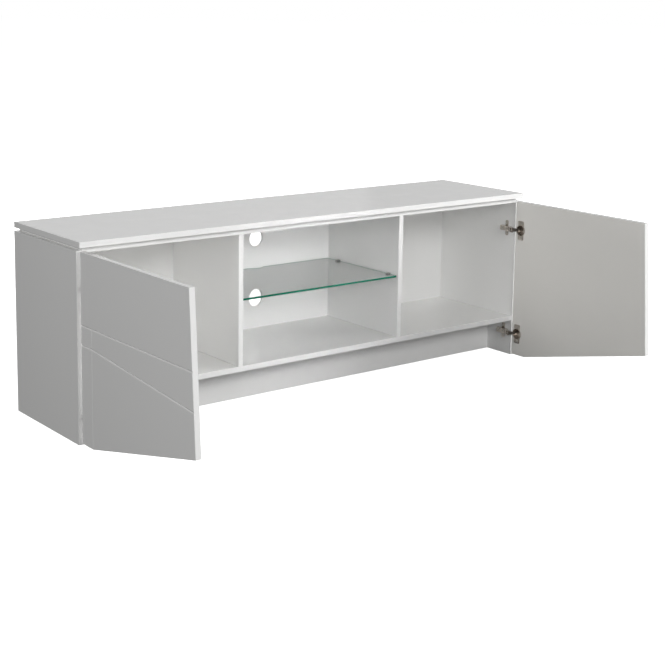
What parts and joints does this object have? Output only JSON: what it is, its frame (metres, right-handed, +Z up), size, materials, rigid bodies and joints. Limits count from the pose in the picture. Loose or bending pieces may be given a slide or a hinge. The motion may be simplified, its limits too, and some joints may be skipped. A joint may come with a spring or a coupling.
{
  "type": "tv stand with doors",
  "caption": "Long low media cabinet with a floating-look top, slant-cut hinged doors, and an open middle bay with a glass shelf and cable holes.",
  "frame": {"origin": "on the floor, midway along the plinth and midway through its thickness", "axes": "+Z up, +X to the right as seen from the front, +Y to the back"},
  "size_m": [1.6, 0.9119, 0.538],
  "materials": {
    "gloss_white": "high gloss white lacquer on board",
    "white_back": "satin white laminate",
    "glass": "clear float glass with polished green edges",
    "hinge_steel": "nickel plated",
    "support_steel": "satin nickel",
    "screw_steel": "zinc plated",
    "beech": "fluted beech dowel"
  },
  "bodies": {
    "carcass": {"top_board": "gloss_white", "sub_top": "gloss_white", "left_side_panel": "gloss_white", "right_side_panel": "gloss_white", "left_divider": "gloss_white", "right_divider": "gloss_white", "bottom_panel": "gloss_white", "plinth": "gloss_white", "back_panel": "white_back", "glass_shelf": "glass", "shelf_supports": "support_steel", "left_upper_hinge_plate": "hinge_steel", "left_lower_hinge_plate": "hinge_steel", "right_upper_hinge_plate": "hinge_steel", "right_lower_hinge_plate": "hinge_steel", "left_upper_hinge_arm": "hinge_steel", "left_lower_hinge_arm": "hinge_steel", "right_upper_hinge_arm": "hinge_steel", "right_lower_hinge_arm": "hinge_steel", "hinge_link_pins": "screw_steel", "hinge_plate_screws": "screw_steel", "hinge_arm_screws": "screw_steel", "panel_dowels": "beech", "plinth_dowels": "beech", "divider_screws": "screw_steel", "top_board_screws": "screw_steel", "sub_top_screws": "screw_steel", "cam_bolts": "screw_steel", "cam_locks": "screw_steel"},
    "left_door_body": {"left_door": "gloss_white", "left_upper_hinge_cup": "hinge_steel", "left_lower_hinge_cup": "hinge_steel", "left_cup_screws": "screw_steel"},
    "right_door_body": {"right_door": "gloss_white", "right_upper_hinge_cup": "hinge_steel", "right_lower_hinge_cup": "hinge_steel", "right_cup_screws": "screw_steel"},
    "left_links": {"left_upper_hinge_link": "hinge_steel", "left_lower_hinge_link": "hinge_steel"},
    "right_links": {"right_upper_hinge_link": "hinge_steel", "right_lower_hinge_link": "hinge_steel"}
  },
  "joints": [
    {"name": "left_door_hinge", "type": "hinge", "parent": "carcass", "child": "left_door_body", "pos_m": [-0.7917, -0.1307, 0.26], "axis": [0, 0, 1], "range_deg": [-15, 90]},
    {"name": "left_link_pivot", "type": "hinge", "parent": "carcass", "child": "left_links", "pos_m": [-0.766, -0.1195, 0.26], "axis": [0, 0, 1], "range_deg": [-33, 6]},
    {"name": "right_door_hinge", "type": "hinge", "parent": "carcass", "child": "right_door_body", "pos_m": [0.7917, -0.1307, 0.26], "axis": [0, 0, -1], "range_deg": [-15, 90]},
    {"name": "right_link_pivot", "type": "hinge", "parent": "carcass", "child": "right_links", "pos_m": [0.766, -0.1195, 0.26], "axis": [0, 0, -1], "range_deg": [-33, 6]}
  ],
  "couplings": [
    {"joint": "left_link_pivot", "follows": "left_door_hinge", "ratio": -0.35},
    {"joint": "right_link_pivot", "follows": "right_door_hinge", "ratio": -0.35}
  ]
}
